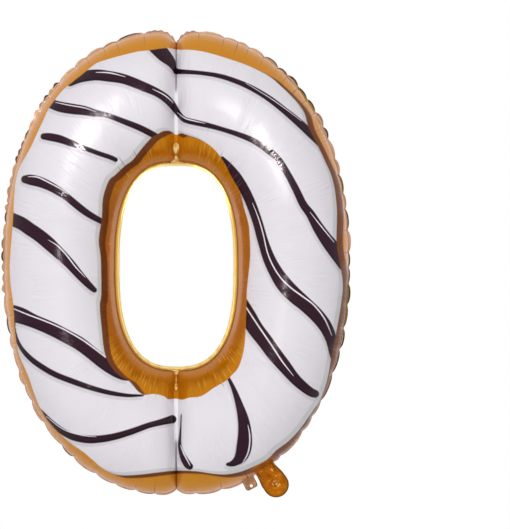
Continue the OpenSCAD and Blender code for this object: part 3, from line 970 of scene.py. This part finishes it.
def inlet_glints_and_crease_shade(n, crumple, tones, normal):
    """Painted glints on the crumple, a darker ring pressed round the inlet, painted sparkle in it, and
    creases towards the neck in painted shade.
    """
    glint = (244, 190, 130)
    from_inlet = n.stored("inlet")
    tones = n.blend(n.remap(crumple["Height"], 0.90, 0.98), tones, glint)
    ring = cut(n, n.calc("ABSOLUTE", n.calc("SUBTRACT", from_inlet, 11.0)), 0.7, 0.6)
    tones = n.blend(n.times(ring, 0.4), tones, (116, 64, 4))
    tones = n.blend(n.times(edge(n, "crease_shade", 1.1, 0.9), 0.8), tones, (84, 44, 4))
    sparkle = n.put("ShaderNodeTexVoronoi", Vector=n.here(), Scale=260.0).outputs["Color"]
    sparkle = n.calc("GREATER_THAN", n.put("ShaderNodeSeparateColor", Color=sparkle).outputs[0], 0.62)
    return n.blend(n.times(sparkle, n.remap(from_inlet, 6.0, 9.0, 1.0, 0.0)), tones, glint), normal


def dark_edge(n, crumple, tones, normal):
    """The tab is darker along its edge and round its eyelet."""
    return n.blend(n.remap(n.stored("tip"), 0.4, 1.0), tones, (110, 70, 44)), normal


for own_detail in (blown_tight, gilt_and_dashes, banded, inlet_glints_and_crease_shade, dark_edge):
    print("detail:", own_detail.__doc__)

# %% Finishes
# Bands across the weld at the hole: gold with painted highlights, pale to white towards its edge
INNER_BANDS_AND_HIGHLIGHTS = [(0.0, (236, 186, 76)), (0.3, (250, 206, 100)), (0.45, (255, 250, 190)),
               (0.6, (255, 244, 176)), (0.72, (228, 184, 76)), (0.84, (252, 236, 170)),
               (1.0, (255, 255, 250))]
TAIL_BANDS = [(0.0, (80, 46, 4)), (0.35, (100, 58, 4)), (0.5, (162, 96, 8)), (1.0, (158, 92, 6))]

gold_film = foil("gold film", (222, 164, 66), (212, 150, 52), 1.0, 0.17, 0.05, 0.5, detail=blown_tight)
outer_film = foil("fused outer weld", (222, 186, 156), (208, 160, 122), 0.1, 0.40, 0.030, 0.1, 0.2,
                  gilt_and_dashes)
gold_weld = foil("fused inner weld", (222, 168, 40), (208, 150, 26), 0.7, 0.34, 0.030, 0.1, 0.2,
                 banded(INNER_BANDS_AND_HIGHLIGHTS))
tail_film = foil("amber tail film", (206, 122, 6), (162, 84, 2), 0.30, 0.34, 0.011, 0.30, 0.1,
                 inlet_glints_and_crease_shade)
gold_tail_film = foil("gold tail film", (222, 164, 66), (200, 138, 40), 1.0, 0.20, 0.011, 0.30)
tail_weld_film = foil("amber tail weld", (206, 122, 6), (166, 88, 2), 0.30, 0.34, 0.011, 0.30, 0.1,
                      banded(TAIL_BANDS))
tab_film = foil("fused tab", (204, 158, 116), (164, 112, 72), 0.1, 0.36, 0.012, 0.2, 0.2, dark_edge)
valve_film = foil("clear valve film", (226, 228, 230), (196, 200, 206), 0.0, 0.25, 0.010, 0.3)
release_coat = foil("release coat", (150, 160, 190), (112, 122, 160), 0.0, 0.55, 0.006, 0.2)
back.data.materials.append(gold_film)
print(len(bpy.data.materials), "materials")

# %% [markdown]
# ## Weld flanges
#
# A weld is a narrow ribbon that follows a line: the outer rim, the hole and the edge of the tail.
# That is a rule along a path, so one Geometry Nodes tree makes all three. It takes a line of edges
# whose points carry a direction to lean in and a share of the width, extrudes the edges twice so that
# the ribbon can curl, and gives it its thickness.

# %% Geometry Nodes tree for a weld
weld_tree = bpy.data.node_groups.new("weld ribbon", "GeometryNodeTree")
weld_tree.interface.new_socket("Geometry", in_out="INPUT", socket_type="NodeSocketGeometry")
WELD_INPUTS = {}
for label, kind in (("Width", "Float"), ("Thickness", "Float"), ("Film", "Material")):
    socket = weld_tree.interface.new_socket(label, in_out="INPUT", socket_type="NodeSocket" + kind)
    WELD_INPUTS[label] = socket.identifier
weld_tree.interface.new_socket("Geometry", in_out="OUTPUT", socket_type="NodeSocketGeometry")

n = Nodes(weld_tree)
given = n.put("NodeGroupInput").outputs
VECTOR, EDGES, FACES = {"data_type": "FLOAT_VECTOR"}, {"mode": "EDGES"}, {"mode": "FACES"}
ON_POINTS = {"data_type": "FLOAT", "domain": "POINT"}
lean, curl = (n.put("GeometryNodeInputNamedAttribute", VECTOR, Name=name).outputs[0]
              for name in ("lean", "curl"))
share = n.put("GeometryNodeInputNamedAttribute", {"data_type": "FLOAT"}, Name="share").outputs[0]
step = n.times(given["Width"], 0.5, share)
first = n.put("GeometryNodeExtrudeMesh", EDGES, Mesh=given["Geometry"], Offset=lean,
              Offset_Scale=step).outputs
second = n.put("GeometryNodeExtrudeMesh", EDGES, Mesh=first["Mesh"], Selection=first["Top"], Offset=curl,
               Offset_Scale=step).outputs
# The mark tip is 0 at the root of the ribbon, a half at its middle and 1 at its edge
tipped = second["Mesh"]
for line, value in ((first["Top"], 0.5), (second["Top"], 1.0)):
    tipped = n.put("GeometryNodeStoreNamedAttribute", ON_POINTS, Geometry=tipped, Selection=line, Name="tip",
                   Value=value).outputs[0]
thick = n.put("GeometryNodeExtrudeMesh", FACES, Mesh=tipped, Offset_Scale=given["Thickness"],
              Individual=False)
joined = n.put("GeometryNodeJoinGeometry", Geometry=thick.outputs["Mesh"])
n.feed(joined, Geometry=n.put("GeometryNodeFlipFaces", Mesh=tipped).outputs[0])
merged = n.put("GeometryNodeMergeByDistance", Geometry=joined.outputs[0], Distance=0.00002)
whole = n.put("GeometryNodeRealizeInstances", Geometry=merged.outputs[0])
coloured = n.put("GeometryNodeSetMaterial", Geometry=whole.outputs[0], Material=given["Film"])
n.put("NodeGroupOutput", Geometry=coloured.outputs[0])
print("weld tree has", len(weld_tree.nodes), "nodes")

# %% [markdown]
# The outer flange stands out from the line where the films meet. It leans forwards and backwards in
# turn from pinch to pinch and is drawn in at each of them, which gives the rim its scalloped edge.
# The flange at the hole is narrow, even and bright gold.

# %% Outer and inner welds
OVERLAP, FLANGE_THICK = 0.0008, 0.0011
OUTER_W, INNER_W = 0.0062, 0.0068
# Round the ring from the right side, in degrees: how far the lobes stand out, how many are golden and
# how many have a dark edge
AROUND = [-90, -60, -35, 0, 30, 50, 68, 90, 108, 122, 150, 185, 215, 245, 270]
PROUD = [0.8, 0.8, 0.8, 1.1, 1.35, 1.5, 1.0, 0.9, 0.95, 1.25, 1.3, 1.2, 0.9, 0.75, 0.8]
GILT = [0.1, 0.1, 0.1, 0.4, 0.5, 0.6, 0.4, 0.1, 0.2, 0.25, 0.15, 0.15, 0.15, 0.2, 0.1]
DASH = [0.5, 0.4, 0.5, 0.6, 0.7, 0.7, 0.4, 0.05, 0.4, 0.7, 0.7, 0.6, 0.45, 0.4, 0.5]


def plain_mesh(piece):
    """Applies a piece's modifiers and leaves a plain mesh."""
    piece_now = piece.evaluated_get(bpy.context.evaluated_depsgraph_get())
    mesh = bpy.data.meshes.new_from_object(piece_now)
    piece.modifiers.clear()
    piece.data = mesh


def weld_piece(name, line, lean, curl, marks, width, thickness, film, closed=True):
    """A weld along a line of points, made by the tree and turned into a plain mesh. Marks are values per
    point, and the one called share is its share of the width."""
    count = len(line)
    edges = [(i, (i + 1) % count) for i in range(count if closed else count - 1)]
    made = new_piece(name, line.tolist(), edges)
    store(made, "lean", lean, "FLOAT_VECTOR")
    store(made, "curl", curl, "FLOAT_VECTOR")
    for label, values in marks.items():
        store(made, label, np.broadcast_to(values, count))
    ribbon = made.modifiers.new("weld ribbon", "NODES")
    ribbon.node_group = weld_tree
    for label, value in (("Width", width), ("Thickness", thickness), ("Film", film)):
        ribbon[WELD_INPUTS[label]] = value
    plain_mesh(made)
    made.data.shade_smooth()
    made.data.set_sharp_from_angle(angle=math.radians(40))
    return made


angle, along, _ = stations(STATIONS)
edge_line = (front_points[:, 0] + back_points[:, 0]) / 2
outwards = unit(outer_line(angle) - hole_line(angle))
lobe, _, _, sway, count, _ = gather(along)
nth = count.astype(int)
degrees = np.degrees(angle)
proud, gilt, dash = (np.interp(degrees, AROUND, v) for v in (PROUD, GILT, DASH))
from_tail = np.hypot(edge_line[:, 0] - 0.168, edge_line[:, 2] + 0.390) / 0.026
proud *= 1 - 0.9 * np.exp(-from_tail ** 6)
scallop = (np.abs(np.sin(math.pi * along / 0.0125)) - 0.4) * 0.55 * np.exp(-((degrees - 90) / 8) ** 2)
lean = np.stack([outwards[:, 0], 0.30 * sway, outwards[:, 1]], -1)
curl = np.stack([outwards[:, 0], -0.35 * sway, outwards[:, 1]], -1)
lobe_marks = {"share": proud * (0.45 + 0.55 * lobe * lobe_stand[nth]) + scallop,
              "gilt": between(gilt - lobe_gilt[nth], 0, 0.15),
              "dash": between(dash - lobe_dash[nth], 0, 0.3) * between(lobe, 1 / 3, 0.75)}
outer_weld = weld_piece("outer_weld_flange", edge_line - lean * OVERLAP, lean, curl, lobe_marks,
                        OUTER_W, FLANGE_THICK, outer_film)

hole_edge = (front_points[:, -1] + back_points[:, -1]) / 2
flutter = np.sin(along / ROUND * 2 * math.pi * 38) * np.clip(np.abs(hole_edge[:, 2]) - 0.12, 0, 0.05) * 2
lean = np.stack([-outwards[:, 0], flutter, -outwards[:, 1]], -1)
inner_weld = weld_piece("inner_weld_flange", hole_edge - lean * OVERLAP, lean, lean, {"share": 1.0},
                        INNER_W, FLANGE_THICK, gold_weld)
print("flange faces", len(outer_weld.data.polygons), len(inner_weld.data.polygons))

# %% [markdown]
# ## The inflation tail
#
# The tail is a flat pouch: two skins with the shape of a neck and a round end, fused along the edge.
# The front skin has the inlet for the straw. A grid of rays from the inlet to the edge gives an even
# mesh with a true round hole. The pouch is slack, so sharp folds cross it, and each skin swells a
# little between them. Its root lies on the flange.

# %% Tail skins
TAIL_ROOT = np.array([0.170090, 0.0, -0.392750])
TAIL_OUT = np.array([0.573576, 0.0, -0.819152])
TAIL_SIDE = np.array([0.819152, 0.0, 0.573576])
INLET_U, INLET_R, END_R, NECK_HALF, NECK_LEN = 0.0312, 0.004, 0.0235, 0.0206, 0.022
TAIL_START, TAIL_RINGS, TAIL_RAYS = -0.014, 26, 160
SKIN_AT, SKIN_PUFF, SKIN_THICK = 0.00075, 0.0022, 0.0003
folds = [(chance.uniform(0, math.pi), chance.uniform(-0.014, 0.014), chance.uniform(0.0005, 0.0013),
          chance.uniform(0.0012, 0.003)) for _ in range(12)]


def on_flap(root, out, side, u, v, y):
    """Points of a flap, by the distance out from its root, to its side and behind it."""
    return root + u[..., None] * out + v[..., None] * side + y[..., None] * np.array([0, 1.0, 0])


def on_tail(u, v, y):
    return on_flap(TAIL_ROOT, TAIL_OUT, TAIL_SIDE, u, v, y)


def rays(middle_u, direction, r):
    return middle_u + r * np.cos(direction)[:, None], r * np.sin(direction)[:, None]


def ray_reach(middle_u, direction, longest, steps, covers):
    """Distance from a hole's middle to a flap's edge in each direction; covers says where the flap is."""
    u, v = rays(middle_u, direction, np.linspace(0, longest, steps)[None, :])
    return longest * covers(u, v).sum(1) / steps


def tail_reach(direction, start_u):
    def covers(u, v):
        neck = NECK_HALF + (END_R - NECK_HALF) * eased(between(u, 0, NECK_LEN))
        return (np.hypot(u - INLET_U, v) < END_R) | ((u > start_u) & (u < INLET_U) & (np.abs(v) < neck))
    return ray_reach(INLET_U, direction, 0.06, 1201, covers)


def film_wall(piece, film, thickness):
    """Gives a skin its film and its thickness."""
    piece.data.materials.append(film)
    wall = piece.modifiers.new("film wall", "SOLIDIFY")
    wall.thickness, wall.offset = thickness, -1
    plain_mesh(piece)


def tail_skin(name, side, inner_r, film):
    direction = all_round(TAIL_RAYS)
    reach = tail_reach(direction, TAIL_START)[:, None]
    r = inner_r + (reach - inner_r) * (np.linspace(0, 1, TAIL_RINGS) ** 0.9)[None, :]
    u, v = rays(INLET_U, direction, r)
    to_edge = np.minimum(reach - r, np.abs(u - TAIL_START))
    puff = eased(between(to_edge, 0.004, 0.014)) * between(u, 0.005, 0.015)
    y = SKIN_AT + SKIN_PUFF * puff
    for slant, shift, height, width in folds:
        gap = np.abs((u - 0.026) * math.cos(slant) + v * math.sin(slant) - shift)
        y = y + height * puff * (np.exp(-gap / width) - 0.25)
    made = grid_piece(name, on_tail(u, v, side * y), flip=side > 0)
    store(made, "inlet", r * MM)
    # Where the creases towards the neck lie, for their painted shade
    store(made, "crease_shade", np.abs(np.abs(v) * MM - 16.0 + 170 * u) + 600 * np.maximum(u - 0.009, 0))
    film_wall(made, film, SKIN_THICK)
    return made


tail_front = tail_skin("tail_front_skin", -1, INLET_R, tail_film)
tail_back = tail_skin("tail_back_skin", 1, 0.0, gold_tail_film)
print("tail skins", len(tail_front.data.polygons), len(tail_back.data.polygons))

# %% [markdown]
# The fused edge of the tail is the same ribbon again, along the tail's outline, a little proud of
# the skins so that the pressed band shows from both sides.

# %% Tail edge weld
BAND_W, BAND_THICK, BAND_OVERHANG = 0.0056, 0.0028, 0.0006
direction = np.linspace(-2.55, 2.55, 150)
u, v = (w[:, 0] for w in rays(INLET_U, direction, tail_reach(direction, -0.002)[:, None]))
flat = np.zeros_like(u)
outline = on_tail(u, v, flat)
inwards = unit(on_tail(flat + INLET_U, flat, flat) - outline)
band_line = outline - inwards * BAND_OVERHANG + [0, -BAND_THICK / 2, 0]
tail_weld = weld_piece("tail_edge_weld_band", band_line, inwards, inwards, {"share": 1.0},
                       BAND_W, BAND_THICK, tail_weld_film, closed=False)
print("tail weld faces", len(tail_weld.data.polygons))

# %% [markdown]
# ## The tether tab
#
# Beside the tail a small tab of fused film carries an eyelet for a ribbon. It is again a grid of rays,
# now round the eyelet, with a wall thickness.

# %% Tether tab
TAB_ROOT = np.array([0.137100, 0.0, -0.412600])
TAB_OUT = np.array([0.453990, 0.0, -0.891007])
TAB_SIDE = np.array([0.891007, 0.0, 0.453990])
TAB_START, TAB_LEN, TAB_HALF, TAB_CORNER = -0.012, 0.015, 0.012, 0.005
EYELET_U, EYELET_R, TAB_THICK = 0.009, 0.003, 0.0008
TAB_RINGS, TAB_RAYS = 12, 144


def tab_covers(u, v):
    past_u = np.clip(u - (TAB_LEN - TAB_CORNER), 0, None)
    past_v = np.clip(np.abs(v) - (TAB_HALF - TAB_CORNER), 0, None)
    rounded = np.where(past_u > 0, np.hypot(past_u, past_v) < TAB_CORNER, np.abs(v) < TAB_HALF)
    return (u > TAB_START) & rounded


direction = all_round(TAB_RAYS)
reach = ray_reach(EYELET_U, direction, 0.024, 961, tab_covers)[:, None]
r = EYELET_R + (reach - EYELET_R) * np.linspace(0, 1, TAB_RINGS)[None, :]
u, v = rays(EYELET_U, direction, r)
wave = -TAB_THICK / 2 + 0.0005 * np.sin(v / 0.0045) * between(u, 0.006, 0.012)
tab = grid_piece("tether_tab_with_eyelet", on_flap(TAB_ROOT, TAB_OUT, TAB_SIDE, u, v, wave))
from_edges = np.minimum(r - EYELET_R, reach - r)
store(tab, "tip", between(from_edges, 0.00182, 0.00042))
film_wall(tab, tab_film, TAB_THICK)
print("tab faces", len(tab.data.polygons))

# %% [markdown]
# ## The film valve
#
# Inside the neck two thin films with fused sides lead into the balloon. Gas that pushes back presses
# them flat, which is the whole valve. They are plain strips with many cross lines along their length,
# and a printed coat keeps the channel from fusing.

# %% Valve strips
VALVE_START, VALVE_END, VALVE_LINES = -0.081, 0.0255, 72
VALVE_HALF, CHANNEL_HALF = 0.013, 0.009
FILM_NEAR, FILM_FAR = 0.00005, 0.00025


def strip(name, bands, low_y, high_y, film):
    """Thin strips along the tail, between two depths; bands are their sides."""
    points, faces = [], []
    for from_v, to_v in bands:
        base, last = len(points), len(points) + 4 * (VALVE_LINES - 1)
        for u in np.linspace(VALVE_START, VALVE_END, VALVE_LINES):
            for v, y in ((from_v, low_y), (to_v, low_y), (to_v, high_y), (from_v, high_y)):
                points.append(tuple(TAIL_ROOT + u * TAIL_OUT + v * TAIL_SIDE + np.array([0, y, 0])))
        for a in range(base, last, 4):
            faces += [(a + k, a + (k + 1) % 4, a + 4 + (k + 1) % 4, a + 4 + k) for k in range(4)]
        faces += [(base + 3, base + 2, base + 1, base), (last, last + 1, last + 2, last + 3)]
    made = new_piece(name, points, faces=faces)
    made.data.materials.append(film)
    return made


whole_width, channel = [(-VALVE_HALF, VALVE_HALF)], [(-CHANNEL_HALF, CHANNEL_HALF)]
both_sides = [(-VALVE_HALF, -CHANNEL_HALF), (CHANNEL_HALF, VALVE_HALF)]
valve_front = strip("valve_front_strip", whole_width, -FILM_FAR, -FILM_NEAR, valve_film)
valve_back = strip("valve_back_strip", whole_width, FILM_NEAR, FILM_FAR, valve_film)
valve_sides = strip("valve_side_weld_strips", both_sides, -FILM_NEAR, FILM_NEAR, valve_film)
valve_coat = strip("valve_release_coat_strip", channel, -FILM_NEAR, FILM_NEAR, release_coat)
print("valve strips of", len(valve_front.data.polygons), "and", len(valve_sides.data.polygons), "faces")

# %% [markdown]
# ## What moves with what
#
# The films and their welds are the balloon, and they go with its body. The tail and the tab hang on
# it by a bend of the film itself; their pieces keep their place as made. Each piece takes the place of
# the CAD solid it stands for.

# %% Bodies, replaced solids and finishes
BALLOON = [(front, "front_film", "printed_film"), (back, "back_film", "gold_film"),
           (outer_weld, "outer_seam", "welded_film"), (inner_weld, "inner_seam", "gold_film")]
TAIL = [(tail_front, "tail_front_film", "tail_film"), (tail_back, "tail_back_film", "gold_film"),
        (tail_weld, "tail_edge_weld", "tail_film"), (valve_front, "valve_front_film", "valve_film"),
        (valve_back, "valve_back_film", "valve_film"), (valve_sides, "valve_side_welds", "valve_film"),
        (valve_coat, "valve_release_coat", "release_coat")]
TAB = [(tab, "tether_tab", "welded_film")]

for piece, _, _ in BALLOON:
    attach(piece, "balloon")
for piece, _, _ in TAIL:
    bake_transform(piece)
for piece, _, _ in TAB:
    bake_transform(piece)
for piece, node, finish in BALLOON + TAIL + TAB:
    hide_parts(node)
bpy.context.view_layer.update()

# %% [markdown]
# ## The end
